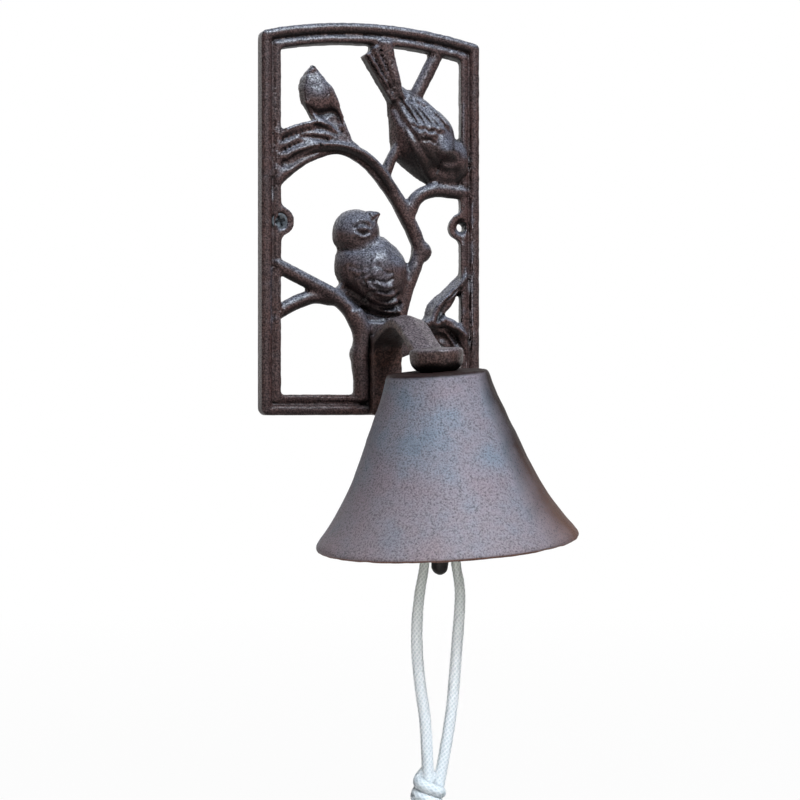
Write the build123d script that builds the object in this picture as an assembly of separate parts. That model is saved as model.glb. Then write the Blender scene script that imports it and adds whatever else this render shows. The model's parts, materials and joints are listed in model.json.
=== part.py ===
from build123d import *
import math
import os

os.makedirs("parts", exist_ok=True)

# Cast-iron wall bell, in millimetres: X to the right, Y into the wall, Z up.
# The origin lies on the wall, midway between the plate's two screw holes.

# Plate frame
plate_width = 104.0
plate_bottom = -86.0
plate_shoulder = 84.0
plate_apex = 90.3
corner_radius = 3.0
rail_width = 9.2
rail_draft = 1.5
outer_bead_width = 4.7
inner_bead_width = 3.3
outer_bead_height = 8.0
inner_bead_height = 7.2
groove_height = 5.4
bead_round = 1.4

# Screw lugs and wall screw
hole_inset = 8.4
lug_radius = 5.0
lug_height = 7.0
lug_draft = 13.0
lug_blend = 4.5
lug_root = 13.0
screw_hole_radius = 2.1
countersink_radius = 4.2
screw_head_radius = 3.6
screw_shank_radius = 1.9
screw_length = 24.0
screw_tip = 5.0
recess_length = 5.0
recess_width = 1.3
recess_depth = 0.9
recess_core_radius = 1.0
recess_core_depth = 1.5
recess_turn = 20.0
screw_seat_gap = 0.05

# Branches, leaves and birds
limb_width = 6.6
limb_crest = 8.0
twig_width = 5.0
twig_crest = 6.8
trunk_width = 9.0
rib_width = 3.6
rib_crest = 7.6
vein_width = 2.4
leaf_height = 6.6
leaf_lift = 2.6
leaf_draft = 16.0
web_height = 4.0
bird_sink = 1.2
tail_height = 6.4
wing_rise = 0.7
quill_rise = 1.7
quill_widths = (1.5, 2.3)
feather_step = 0.7
feather_rows = (19.5, 16.2, 12.9, 9.6)
eye_radius = 1.5
carving_reach = 40.0

# Arm, its seat on the plate and the two screws from behind
arm_x = 5.0
seat_height = 6.5
leg_width = 14.4
leg_thickness = 6.0
leg_top = -50.0
strap_end_width = 13.0
strap_thickness = 6.0
strap_edge = 3.8
arm_reach = 73.0
arch_top = -45.2
boss_radius = 11.2
boss_foot_radius = 7.4
boss_height = 9.6
boss_rim = 5.2
boss_round = 0.9
arm_gap = 0.4
arm_screw_radius = 2.4
arm_screw_head_radius = 4.4
arm_screw_grip = 4.2
arm_screw_heights = (-79.0, -57.0)

# Bell, which leans on its boss
crown_z = -67.2
lean_side = 4.4
lean_back = 2.2
crown_radius = 22.0
crown_round = 3.4
crown_thickness = 4.4
bell_wall = 4.0
lip_radius = 55.3
lip_thickness = 4.4
bell_height = 72.8

# Hanger and clapper
bolt_radius = 3.0
bolt_clearance = 0.05
crown_clearance = 0.35
bolt_engagement = 7.0
washer_radius = 8.0
washer_thickness = 1.2
nut_across_flats = 10.0
nut_height = 4.0
eye_ring = 5.0
eye_wire = 1.75
link_ring = 6.5
link_wire = 1.25
clapper_eye_ring = 4.5
clapper_eye_wire = 2.0
link_clearance = 0.3
clapper_rod_radius = 2.6
striker_radius = 12.5
striker_z = -124.0
neck_radius = 6.6
tip_radius = 3.6
tip_bottom = -152.5
cord_hole_radius = 3.4
cord_hole_z = -141.0

# Pull cord
cord_radius = 2.6
knot_radius = 8.2
knot_length = 18.0
knot_lean = 10.0
knot_seat = 1.5
tail_length = 13.0

half_width = plate_width / 2
rail_x = half_width - rail_width / 2
hole_x = half_width - hole_inset
wall_half = Pos(0, 100, 0) * Box(400, 200, 600)


def point(x, z, height=0.0):
    return Vector(x, -height, z)


def corner_radii(points):
    """Largest easy arc at each inner corner: 0.45 of the shorter run over the tangent of half the turn."""
    radii = []
    for before, here, after in zip(points, points[1:], points[2:]):
        run_in = Vector(here) - Vector(before)
        run_out = Vector(after) - Vector(here)
        half_turn = math.radians(run_in.get_angle(run_out)) / 2
        radii.append(0.45 * min(run_in.length, run_out.length) / math.tan(half_turn))
    return radii


def limb(points, width, crest):
    """Branch with a flat back on the wall, drafted sides and a round crest, along points (x, z)."""
    route = [point(x, z) for x, z in points]
    path = FilletPolyline(*route, radius=corner_radii(route)) if len(route) > 2 else Line(*route)
    start = Plane(origin=path @ 0, x_dir=(0, -1, 0), z_dir=path % 0)
    foot, shoulder, side = width * 0.34, width * 0.5, crest - width * 0.46
    outline = Polyline((side, -shoulder), (0, -foot), (0, foot), (side, shoulder))
    outline += ThreePointArc((side, shoulder), (crest, 0), (side, -shoulder))
    return sweep(start * make_face(outline), path=path)


def arched(inset, side_relief=0.0):
    """Plate outline, inset all round, with the arched top concentric with the outer one."""
    rise = plate_apex - plate_shoulder
    radius = (half_width**2 + rise**2) / (2 * rise)
    centre = plate_apex - radius
    half = half_width - inset + side_relief
    shoulder = centre + math.sqrt((radius - inset) ** 2 - half**2)
    low = plate_bottom + inset
    outline = Polyline((-half, shoulder), (-half, low), (half, low), (half, shoulder))
    outline += ThreePointArc((half, shoulder), (0, plate_apex - inset), (-half, shoulder))
    face = make_face(outline)
    return Plane.XZ * fillet(face.vertices(), max(corner_radius - inset, 1.2))


def bead(inset, width, height):
    ring = extrude(arched(inset) - arched(inset + width), height)
    crest = ring.edges().filter_by(lambda e: abs(e.center().Y + height) < 0.01)
    return fillet(crest, min(bead_round, width * 0.4))


def flat_shape(points, height, taper=0.0):
    """Prism from the wall with a polygon outline of points (x, z)."""
    face = Plane.XZ * make_face(Polyline(*points, close=True))
    return extrude(face, height, taper=taper)


def leaf(base_left, bulge_left, tip, bulge_right, base_right, height, taper=12.0):
    """Pointed leaf: two arcs from its base to its tip, with sloping sides."""
    outline = ThreePointArc(base_left, bulge_left, tip)
    outline += ThreePointArc(tip, bulge_right, base_right)
    outline += Line(base_right, base_left)
    return extrude(Plane.XZ * make_face(outline), height, taper=taper)


def rounded_body(tail, head, stations, grow=0.0, sink=bird_sink):
    """Body of revolution along tail to head (x, z), through stations (length, radius)."""
    start, end = point(*tail, -sink), point(*head, -sink)
    length = (end - start).length
    shifted = [(along, radius + grow) for along, radius in stations]
    first, last = shifted[0], (length + grow, 0)
    side = Spline(*shifted, last, tangents=((1, 0.4), (0, -1)))
    outline = side + Polyline(last, (first[0], 0), first)
    placed = Plane(origin=start, x_dir=end - start, z_dir=(0, -1, 0))
    return placed * revolve(make_face(outline), Axis.X)


def strip(root, end, root_width, end_width):
    """Tall prism over a strip that widens from root to end (x, z)."""
    root, end = Vector(*root), Vector(*end)
    along = (end - root).normalized()
    across = Vector(-along.Y, along.X)
    near, far = across * (root_width / 2), across * (end_width / 2)
    corners = [root - near, root + near, end + far, end - far]
    return flat_shape([(corner.X, corner.Y) for corner in corners], carving_reach)


def ball(x, z, radius, sink):
    return Location(point(x, z, -sink)) * Sphere(radius)


def lug(side):
    """Round ear that runs into the rail's inner edge with a hollow blend above and below."""
    edge = half_width - rail_width + lug_height * math.tan(math.radians(lug_draft))
    root = Pos(edge + rail_width / 4, 0) * Rectangle(rail_width / 2, 2 * lug_root)
    ear = root + Pos(hole_x, 0) * Circle(lug_radius)
    notches = ear.vertices().filter_by(lambda v: abs(v.X - edge) < 0.01 and abs(v.Y) < lug_root - 0.1)
    ear = fillet(notches, lug_blend)
    solid = extrude(Plane.XZ * ear, lug_height, taper=-lug_draft)
    return solid if side > 0 else mirror(solid, Plane.YZ)


def screw_hole(side):
    cone_depth = countersink_radius - screw_hole_radius
    hole = Cylinder(screw_hole_radius, 40)
    mouth = Pos(0, 0, lug_height - cone_depth / 2)
    mouth *= Cone(screw_hole_radius - 0.5, countersink_radius + 0.5, cone_depth + 1)
    clear = Pos(0, 0, lug_height + 10) * Cylinder(countersink_radius, 20)
    return Pos(side * hole_x, 0, 0) * (Plane.XZ * (hole + mouth + clear))


def arm_screw_place(z):
    return Plane(origin=(arm_x, 0, z), x_dir=(1, 0, 0), z_dir=(0, -1, 0))


def arm_screw(z, clearance=0.0):
    """Countersunk screw from behind, through the seat and into the leg."""
    shank_radius = arm_screw_radius + clearance
    head_radius = arm_screw_head_radius + clearance
    head_height = head_radius - shank_radius
    reach = seat_height + arm_screw_grip + clearance
    head = Pos(0, 0, head_height / 2) * Cone(head_radius, shank_radius, head_height)
    shank = Pos(0, 0, reach / 2) * Cylinder(shank_radius, reach)
    return arm_screw_place(z) * (head + shank)


# Wall plate: frame, lugs, branches, leaves and birds of one casting
def frame_rails():
    floor = extrude(arched(0) - arched(rail_width), groove_height)
    outer = bead(0, outer_bead_width, outer_bead_height)
    inner = bead(rail_width - inner_bead_width, inner_bead_width, inner_bead_height)
    back = arched(rail_width, rail_draft)
    front = Pos(0, -inner_bead_height, 0) * arched(rail_width)
    return floor + [outer, inner] - loft([back, front], ruled=True)


def branches():
    bough = [(-rail_x, 16), (-34, 28.5), (-16, 35.5), (-2, 29.6), (11, 14.8), (21, -3.5), (24.4, -12)]
    bough_foot = [(24, -10), (21, -19), (16.4, -30), (13, -44)]
    perch = [(17.5, 4), (21.5, 13.5), (30, 17), (rail_x, 15.8)]
    breast_twig = [(7, 23), (9.6, 30), (14, 37)]
    left_branch = [(-rail_x, -18), (-33, -25), (-18, -32), (-9, -40), (-4, -50)]
    low_twig = [(-rail_x, -42.5), (-36, -35.8), (-27, -32.6), (-17, -34)]
    trunk = [(-9, -39), (-3.6, -50), (-5.6, -60), (-3.8, -71), (-4.6, plate_bottom + rail_width / 2)]
    top_twig = [(20.5, 57), (27, 69), (33.5, plate_shoulder - 2)]
    limbs = [limb(route, limb_width, limb_crest) for route in (bough, bough_foot, perch, left_branch)]
    limbs += [limb(route, limb_width, twig_crest) for route in (low_twig, top_twig)]
    limbs += [limb(breast_twig, twig_width, twig_crest), limb(trunk, trunk_width, limb_crest + 1)]
    return limbs + [ball(25, -11.5, 5.0, -3), ball(-4.6, -58.5, 5.2, -3)]


def leaves():
    lobe_stations = [(0, 4.6), (6, 6.3), (14, 5.6), (19, 3.2)]
    lobe = rounded_body((-23.6, 49.5), (-27.6, 71.4), lobe_stations, sink=-leaf_lift)
    lobe_tip = leaf((-31.4, 58), (-31.2, 65.5), (-27.2, 72), (-22.4, 66), (-20.4, 60), leaf_height)
    stalk = flat_shape([(-30, 56), (-22, 64), (-19, 57), (-10.5, 38), (-24, 43)], web_height + 1)
    edges = [[(-25.6, 66), (-20.8, 60), (-16.6, 50), (-11.3, 37)], [(-29.6, 54), (-27, 47.5), (-22, 43)]]
    lying = [(-rail_x, 36.5), (-34, 42), (-24, 44), (-7, 33.5), (-16, 35), (-33, 28), (-rail_x, 18)]
    ribs = [
        [(-rail_x, 36.5), (-34, 42.2), (-24, 44.2), (-7, 33.6)],
        [(-rail_x, 31), (-35, 37.4), (-24, 40.4), (-7, 33.2)],
        [(-rail_x, 25.5), (-36, 32.6), (-25, 36.8), (-7, 32.8)],
    ]
    blade_tip = (rail_x - 1, -19.5)
    blade = leaf((25, -44), (32.4, -33), blade_tip, (40, -36), (30, -46), leaf_height, leaf_draft)
    midrib = [(26.6, -45), (32.6, -37), (39.6, -30.4), (rail_x - 0.6, -21)]
    curl = [(25, -45), (36, -42.6), (43, -47.5), (rail_x, -60)]
    curl_web = flat_shape(curl + [(36, -55), (28, -50)], web_height)
    curl_fold = [(27, -47.5), (35, -47.4), (40, -52.5), (42.4, -60)]
    ridges = [limb(route, rib_width, rib_crest) for route in ribs + edges]
    ridges += [limb(midrib, vein_width, rib_crest + 0.8), limb(curl_fold, vein_width, leaf_height - 0.4)]
    ridges += [limb(curl, rib_width + 0.8, rib_crest + 1)]
    return [lobe, lobe_tip, stalk, blade, flat_shape(lying, web_height), curl_web] + ridges


def perched_bird():
    """Upper bird, seen from behind, head down towards the right rail and tail against the top rail."""
    tail_root, head_end = (11.6, 62.8), (38, 20)
    stations = [(0, 4.5), (14, 11), (27, 16), (38, 12.8)]
    body = rounded_body(tail_root, head_end, stations)
    head = ball(37, 29.6, 11.6, -1.4)
    top = plate_shoulder - 1
    tail = flat_shape([(9.6, 55), (-3.6, 75.6), (0.4, 79.4), (8, top), (11.6, 66), (16, 57)], tail_height)
    feather_roots = [(10.9, 56), (11.8, 56.5), (12.7, 57), (13.6, 57.4)]
    feather_ends = [(-2.8, 76.8), (0.6, 80), (3.9, top), (7.1, top)]
    feathers = [limb(route, rib_width, rib_crest + 1) for route in zip(feather_roots, feather_ends)]
    wing = leaf((14.6, 57), (14.5, 42), (29, 20), (36.5, 39), (25.5, 57.5), carving_reach, 0)
    wing &= rounded_body(tail_root, head_end, stations, wing_rise)
    raised = rounded_body(tail_root, head_end, stations, quill_rise)
    quill_roots = [(16.4, 56.4), (18.6, 57), (20.8, 57.5), (23, 57.8), (25, 57.8)]
    quill_ends = [(20.2, 38.4), (24, 38.6), (27.8, 39.6), (31.2, 41.6), (34.2, 44.4)]
    quills = [strip(root, end, *quill_widths) & raised for root, end in zip(quill_roots, quill_ends)]
    return [body, head, wing, tail] + quills + feathers


def resting_bird():
    """Lower bird, seen from behind, looking over its shoulder to the right."""
    back, rump = (-4.6, -11), (13.5, -43)
    stations = [(0, 11.6), (8, 14.6), (21, 12.6), (30, 8)]
    body = rounded_body(back, rump, stations)
    breast = ball(-1.8, -18.4, 14.8, bird_sink)
    head = ball(-6.4, -4, 11, bird_sink - 2.4)
    beak_line = Plane(origin=point(-1, 2.6, 6), x_dir=(0, 1, 0), z_dir=(1, 0, 0.55))
    beak = beak_line * (Pos(0, 0, 2.8) * Cone(4.0, 0.5, 5.6))
    eye = ball(-5.4, -3, eye_radius, -11.4)
    row_centre = (5.5, -20)
    rows = []
    for k, reach in enumerate(feather_rows):
        disc = Location(point(*row_centre)) * extrude(Plane.XZ * Circle(reach), carving_reach)
        rows.append(disc & rounded_body(back, rump, stations, (k + 1) * feather_step))
    fork = [(-19, -31.5), (-12, -25), (8, -38), (6, -47), (-3, -49)]
    return [body, breast, head, beak, eye, flat_shape(fork, web_height)] + rows


def arm_seat():
    top = leg_top + 6
    left, right = arm_x - leg_width / 2 - 4, arm_x + leg_width / 2
    pad = [(left, plate_bottom), (right, plate_bottom), (right, top), (left, top)]
    leaf_root = [(right - 2, top + 4), (right + 16, top + 1)]
    leaf_root += [(right + 8, leg_top - 8), (right - 2, leg_top - 12)]
    return flat_shape(pad, seat_height) + flat_shape(leaf_root, web_height)


def seat_clearance():
    left, right = arm_x - leg_width / 2, arm_x + leg_width / 2
    area = [(left, plate_bottom - 1), (right, plate_bottom - 1), (right, leg_top), (left, leg_top)]
    return Pos(0, -seat_height, 0) * flat_shape(area, carving_reach)


def wall_plate():
    relief = [lug(-1), lug(1), arm_seat()] + branches() + leaves() + perched_bird() + resting_bird()
    casting = frame_rails()
    for form in relief:
        casting += form
    casting -= wall_half
    casting -= seat_clearance()
    casting -= arm_strap(arm_gap) - Pos(0, 100 - seat_height, 0) * Box(400, 200, 600)
    casting -= [screw_hole(-1), screw_hole(1)]
    casting -= [arm_screw(z, bolt_clearance) for z in arm_screw_heights]
    return casting


# Bell and what clamps it to the boss, modelled upright under the crown and then leaned
bell_lean = Location((arm_x, -arm_reach, crown_z), (lean_back, -lean_side, 0))
leg_y = -(seat_height + leg_thickness / 2)


def arm_strap(grow=0.0):
    """Strap from the leg over the arch to the boss, flat below, ridged above and narrower at the boss."""
    rise_y = -(seat_height + strap_thickness / 2)
    rise = [(rise_y, leg_top - 12), (rise_y, leg_top - 7)]
    arch = [(rise_y - 6, arch_top - 5), (rise_y - 14.5, arch_top - 1.4), (-(arm_reach - 35), arch_top)]
    fall = [(-(arm_reach - 22.8), arch_top - 5.6), (-(arm_reach - 13.6), arch_top - 11.4)]
    landing = (-(arm_reach - 7), crown_z + 5.5)
    route = [Vector(arm_x, y, z) for y, z in rise + arch + fall + [landing]]
    path = Line(*route[:2]) + Spline(*route[1:], tangents=((0, 0, 1), (0, -0.8, -0.6)))
    start = Plane(origin=path @ 0, x_dir=(1, 0, 0), z_dir=path % 0)
    half, face = leg_width / 2 + grow, strap_thickness / 2 + grow
    edge = strap_edge - strap_thickness / 2 + grow
    outline = Polyline((-half, edge), (-half, -face), (half, -face), (half, edge))
    outline += Polyline((half, edge), (0, face), (-half, edge))
    strap = sweep(start * make_face(outline), path=path)
    end = strap_end_width / 2 + grow
    plan = [(-half, 0), (-half, leg_y), (-end, -arm_reach), (end, -arm_reach), (half, leg_y), (half, 0)]
    return strap & Pos(arm_x, 0, -150) * extrude(make_face(Polyline(*plan, close=True)), 300)


def bell_arm():
    leg = Pos(arm_x, leg_y, (leg_top + plate_bottom) / 2)
    leg *= Box(leg_width, leg_thickness, leg_top - plate_bottom)
    leg = fillet(leg.edges().filter_by(lambda e: e.center().Y < leg_y - 0.1), 1.2)
    waist = boss_height - boss_rim
    side = Polyline((0, 0), (0, boss_height), (boss_radius, boss_height), (boss_radius, waist))
    side += Spline((boss_radius, waist), (boss_foot_radius, 0), tangents=((-0.15, -1), (-0.9, -0.45)))
    side += Line((boss_foot_radius, 0), (0, 0))
    boss = revolve(Plane.XZ * make_face(side), Axis.Z)
    boss = fillet(boss.edges().filter_by(lambda e: e.center().Z > boss_height - 0.1), boss_round)
    arm = leg + arm_strap() + bell_lean * boss
    bore_depth = bolt_engagement + 1
    bore = Pos(0, 0, bore_depth / 2 - 5) * Cylinder(bolt_radius + bolt_clearance, bore_depth + 10)
    arm -= bell_lean * (Pos(0, 0, -50) * Box(60, 60, 100))
    return arm - [bell_lean * bore] - [arm_screw(z, bolt_clearance) for z in arm_screw_heights]


def bell():
    """Revolved shell: flat crown, flaring side and a thick rounded lip."""
    lip_round = lip_thickness / 2
    lip_z = lip_round - bell_height
    outer = [(crown_radius, -crown_round), (28.9, -21), (38.0, -43.5), (lip_radius - 0.9, lip_z + 2.6)]
    inner = [(r - bell_wall * 1.06, z) for r, z in outer[1:3]]
    lip_inner = (lip_radius - lip_thickness, lip_z)
    shoulder = (crown_radius - bell_wall - crown_round, -crown_thickness)
    neck = (crown_radius - bell_wall - 0.2, -crown_thickness - 3.4)
    hole = bolt_radius + crown_clearance
    outline = Polyline(shoulder, (hole, -crown_thickness), (hole, 0), (crown_radius - crown_round, 0))
    outline += RadiusArc((crown_radius - crown_round, 0), outer[0], crown_round)
    outline += Spline(*outer, tangents=((0.12, -1), (0.62, -0.78)))
    outline += Spline(outer[-1], (lip_radius, lip_z), (lip_radius - lip_round, -bell_height), lip_inner)
    outline += Spline(lip_inner, *reversed(inner), neck, tangents=((-0.55, 0.83), (-0.2, 1)))
    outline += Spline(neck, shoulder, tangents=((-0.2, 1), (-1, 0)))
    return bell_lean * revolve(Plane.XZ * make_face(outline), Axis.Z)


def crown_washer():
    ring = Circle(washer_radius) - Circle(bolt_radius + crown_clearance)
    return bell_lean * (Pos(0, 0, -crown_thickness) * extrude(ring, -washer_thickness))


def crown_nut():
    flats = RegularPolygon(nut_across_flats / 2, 6, major_radius=False) - Circle(bolt_radius + bolt_clearance)
    return bell_lean * (Pos(0, 0, -crown_thickness - washer_thickness) * extrude(flats, -nut_height))


stack = crown_thickness + washer_thickness + nut_height
eye_drop = stack + eye_ring + eye_wire + 0.6
eye_centre = (bell_lean * Pos(0, 0, -eye_drop)).position
link_top_z = eye_centre.Z - eye_ring + eye_wire + link_clearance + link_wire
link_centre_z = link_top_z - link_ring
link_foot_z = link_centre_z - link_ring
clapper_eye_z = link_foot_z + link_wire + link_clearance + clapper_eye_wire - clapper_eye_ring
clapper_x, clapper_y = eye_centre.X, eye_centre.Y


def ring_across(z, ring, wire):
    """Ring in the plate's own direction, with its hole from front to back."""
    return Location((clapper_x, clapper_y, z), (90, 0, 0)) * Torus(ring, wire)


def eye_bolt():
    top, foot = bolt_engagement, -(eye_drop - eye_ring)
    shank = Pos(0, 0, (top + foot) / 2) * Cylinder(bolt_radius, top - foot)
    shank = chamfer(shank.edges().sort_by(Axis.Z)[-1], 0.6)
    return (bell_lean * shank) + ring_across(eye_centre.Z, eye_ring, eye_wire)


def clapper_link():
    return Location((clapper_x, clapper_y, link_centre_z), (0, 90, 0)) * Torus(link_ring, link_wire)


def clapper():
    eye = ring_across(clapper_eye_z, clapper_eye_ring, clapper_eye_wire)
    rod_top = clapper_eye_z - clapper_eye_ring
    rod_length = rod_top - striker_z
    rod = Pos(0, 0, rod_top - rod_length / 2) * Cone(clapper_rod_radius + 1, clapper_rod_radius, rod_length)
    striker = Pos(0, 0, striker_z) * Sphere(striker_radius)
    neck_z = cord_hole_z + cord_hole_radius + 1
    round_z = tip_bottom + tip_radius
    side = Polyline((0, striker_z), (neck_radius, striker_z), (neck_radius, neck_z))
    side += Spline((neck_radius, neck_z), (tip_radius, round_z), tangents=((0, -1), (0, -1)))
    side += RadiusArc((tip_radius, round_z), (0, tip_bottom), tip_radius)
    side += Line((0, tip_bottom), (0, striker_z))
    tip = revolve(Plane.XZ * make_face(side), Axis.Z)
    body = Pos(clapper_x, clapper_y, 0) * (rod + [striker, tip])
    hole = Pos(clapper_x, clapper_y, cord_hole_z) * (Rot(0, 90, 0) * Cylinder(cord_hole_radius, 40))
    return (body + eye) - hole


# Pull cord: two strands from the clapper's hole to the knot, as (x from the clapper, z)
left_route = [(0, -140.8), (-7, -140.8), (-7.7, -149), (-9.4, -160), (-10.7, -177), (-9.2, -197),
              (-5.9, -215), (-5.6, -236.5)]
right_route = [(0, -140.8), (7, -140.8), (8.1, -149), (9.6, -160), (8.2, -178), (6.6, -197),
               (4.7, -216), (0.2, -236.5)]
knot_top = (-2.8, -236.5)


def strand(route, name):
    points = [Vector(clapper_x + x, clapper_y, z) for x, z in route]
    radii = corner_radii(points)
    print(name, "arc radii", [round(r, 1) for r in radii])
    path = FilletPolyline(*points, radius=radii)
    start = Plane(origin=path @ 0, z_dir=path % 0)
    tube = sweep(start * Circle(cord_radius), path=path)
    print(name, "length", round(path.length, 1), "volume ratio",
          round(tube.volume / (path.length * math.pi * cord_radius**2), 4))
    return tube


def cord_knot():
    """Plain barrel of the overhand knot, with the two cut ends below it."""
    top = Location((clapper_x + knot_top[0], clapper_y, knot_top[1] + knot_seat), (0, knot_lean, 0))
    barrel = Pos(0, 0, -knot_length / 2) * Cylinder(knot_radius, knot_length)
    barrel = fillet(barrel.edges().sort_by(Axis.Z)[0], knot_radius * 0.7)
    barrel = fillet(barrel.edges().sort_by(Axis.Z)[-1], knot_radius * 0.25)
    tail = Pos(0, 0, -knot_length - tail_length / 2 + 2) * Cylinder(cord_radius, tail_length + 4)
    spread = cord_radius * 1.05
    tails = [Pos(side * spread, 0, 0) * tail for side in (-1, 1)]
    return top * (barrel + tails)


def wall_screw():
    """Countersunk cross-head screw in the left lug, seated in its countersink."""
    seat_gap = countersink_radius - screw_head_radius
    head_height = screw_head_radius - screw_shank_radius
    face = lug_height - seat_gap + screw_seat_gap
    foot = face - screw_length
    head = Pos(0, 0, face - head_height / 2) * Cone(screw_shank_radius, screw_head_radius, head_height)
    shank = Pos(0, 0, (face + foot + screw_tip) / 2) * Cylinder(screw_shank_radius, screw_length - screw_tip)
    tip = Pos(0, 0, foot + screw_tip / 2) * Cone(0.3, screw_shank_radius, screw_tip)
    slot = Pos(0, 0, face) * Box(recess_length, recess_width, 2 * recess_depth)
    screw = head + [shank, tip]
    core = Pos(0, 0, face) * Cylinder(recess_core_radius, 2 * recess_core_depth)
    screw -= [Rot(0, 0, recess_turn) * slot, Rot(0, 0, recess_turn + 90) * slot, core]
    return Pos(-hole_x, 0, 0) * (Plane.XZ * screw)


nodes = {
    "wall_plate": wall_plate,
    "bell_arm": bell_arm,
    "arm_screws": lambda: Compound([arm_screw(z).solid() for z in arm_screw_heights]),
    "bell": bell,
    "eye_bolt": eye_bolt,
    "crown_washer": crown_washer,
    "crown_nut": crown_nut,
    "clapper_link": clapper_link,
    "clapper": clapper,
    "cord_left": lambda: strand(left_route, "cord_left"),
    "cord_right": lambda: strand(right_route, "cord_right"),
    "cord_knot": cord_knot,
    "wall_screw": wall_screw,
}
for name, build in nodes.items():
    piece = build()
    print(name, "solids", len(piece.solids()), "volume", round(piece.volume), "valid", piece.is_valid)
    export_step(piece, f"parts/{name}.step")
print("clapper axes: x", round(clapper_x, 4), "y", round(clapper_y, 4),
      "link z", round(eye_centre.Z - eye_ring, 4), "clapper z", round(link_foot_z, 4))
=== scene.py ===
# %% [markdown]
# # Cast-iron wall bell
# The object is a wall bell of sand-cast iron: an openwork plate with two birds on branches, a hooked
# arm, a flared bell that leans a little on its boss, and a clapper that is rung by a loop of white cord.
# The solid model is loaded first as a fixed frame. Each piece below is dressed in that frame, in metres.

# %% Frame and bench helpers
import bpy
import json
import math
import numpy as np
from mathutils import Matrix, Vector, noise


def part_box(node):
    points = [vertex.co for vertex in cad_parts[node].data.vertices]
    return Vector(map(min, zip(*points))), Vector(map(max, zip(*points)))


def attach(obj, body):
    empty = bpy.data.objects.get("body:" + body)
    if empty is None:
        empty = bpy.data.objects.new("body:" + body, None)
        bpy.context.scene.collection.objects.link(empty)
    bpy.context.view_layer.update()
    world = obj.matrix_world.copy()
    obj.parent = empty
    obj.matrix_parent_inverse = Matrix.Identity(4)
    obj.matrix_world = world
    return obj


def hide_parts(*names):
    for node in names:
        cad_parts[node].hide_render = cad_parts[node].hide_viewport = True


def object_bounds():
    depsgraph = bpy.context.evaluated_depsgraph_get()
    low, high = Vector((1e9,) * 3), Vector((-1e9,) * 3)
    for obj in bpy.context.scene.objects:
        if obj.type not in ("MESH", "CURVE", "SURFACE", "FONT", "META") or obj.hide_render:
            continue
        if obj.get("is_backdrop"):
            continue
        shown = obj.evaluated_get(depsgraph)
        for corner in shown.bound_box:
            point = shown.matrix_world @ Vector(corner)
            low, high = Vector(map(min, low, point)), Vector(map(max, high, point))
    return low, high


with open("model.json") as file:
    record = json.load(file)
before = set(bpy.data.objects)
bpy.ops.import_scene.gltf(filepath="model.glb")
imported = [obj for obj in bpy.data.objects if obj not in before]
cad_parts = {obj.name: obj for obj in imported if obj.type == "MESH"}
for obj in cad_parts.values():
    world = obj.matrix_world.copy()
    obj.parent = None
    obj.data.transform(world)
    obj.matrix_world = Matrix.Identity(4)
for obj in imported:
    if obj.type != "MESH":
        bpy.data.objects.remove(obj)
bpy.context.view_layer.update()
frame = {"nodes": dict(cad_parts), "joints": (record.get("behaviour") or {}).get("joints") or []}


def deselect_all():
    if bpy.context.object and bpy.context.object.mode != "OBJECT":
        bpy.ops.object.mode_set(mode="OBJECT")
    bpy.ops.object.select_all(action="DESELECT")


def take_up(piece):
    """Make one piece the only selected and active one."""
    deselect_all()
    piece.select_set(True)
    bpy.context.view_layer.objects.active = piece


def copy_of(node, name):
    """A copy of a solid's mesh as a new piece, its loose triangles welded together."""
    piece = bpy.data.objects.new(name, frame["nodes"][node].data.copy())
    piece.data.materials.clear()
    bpy.context.scene.collection.objects.link(piece)
    take_up(piece)
    bpy.ops.object.mode_set(mode="EDIT")
    bpy.ops.mesh.select_all(action="SELECT")
    bpy.ops.mesh.remove_doubles(threshold=1e-6)
    bpy.ops.object.mode_set(mode="OBJECT")
    return piece


def smooth_surface(piece, repeat, factor=0.5):
    """Rub the stair steps of a remesh away, as sand rounds the edges of a casting."""
    take_up(piece)
    bpy.ops.object.mode_set(mode="EDIT")
    bpy.ops.mesh.select_all(action="SELECT")
    bpy.ops.mesh.vertices_smooth(factor=factor, repeat=repeat)
    bpy.ops.object.mode_set(mode="OBJECT")


def cast_from(node, name, voxel, repeat):
    """A casting's skin over a solid: one even mesh with softened edges."""
    piece = copy_of(node, name)
    piece.data.remesh_voxel_size = voxel
    bpy.ops.object.voxel_remesh()
    smooth_surface(piece, repeat)
    bpy.ops.object.shade_smooth()
    return piece


def points_of(piece):
    places = np.zeros(len(piece.data.vertices) * 3)
    piece.data.vertices.foreach_get("co", places)
    return places.reshape(-1, 3)


def normals_of(piece):
    directions = np.zeros(len(piece.data.vertices) * 3)
    piece.data.vertex_normals.foreach_get("vector", directions)
    return directions.reshape(-1, 3)


def put_points(piece, places):
    piece.data.vertices.foreach_set("co", places.ravel())
    piece.data.update()


def sand_cast(piece, grain, depth, seed):
    """Uneven sand-cast skin: each point moves along its normal by a soft noise of that grain, in metres."""
    places, directions = points_of(piece), normals_of(piece)
    shift = Vector((seed, 2 * seed, 3 * seed))
    lift = np.array([noise.fractal(Vector(p) / grain + shift, 1.0, 2.0, 2) for p in places])
    put_points(piece, places + directions * (lift * depth)[:, None])


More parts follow.
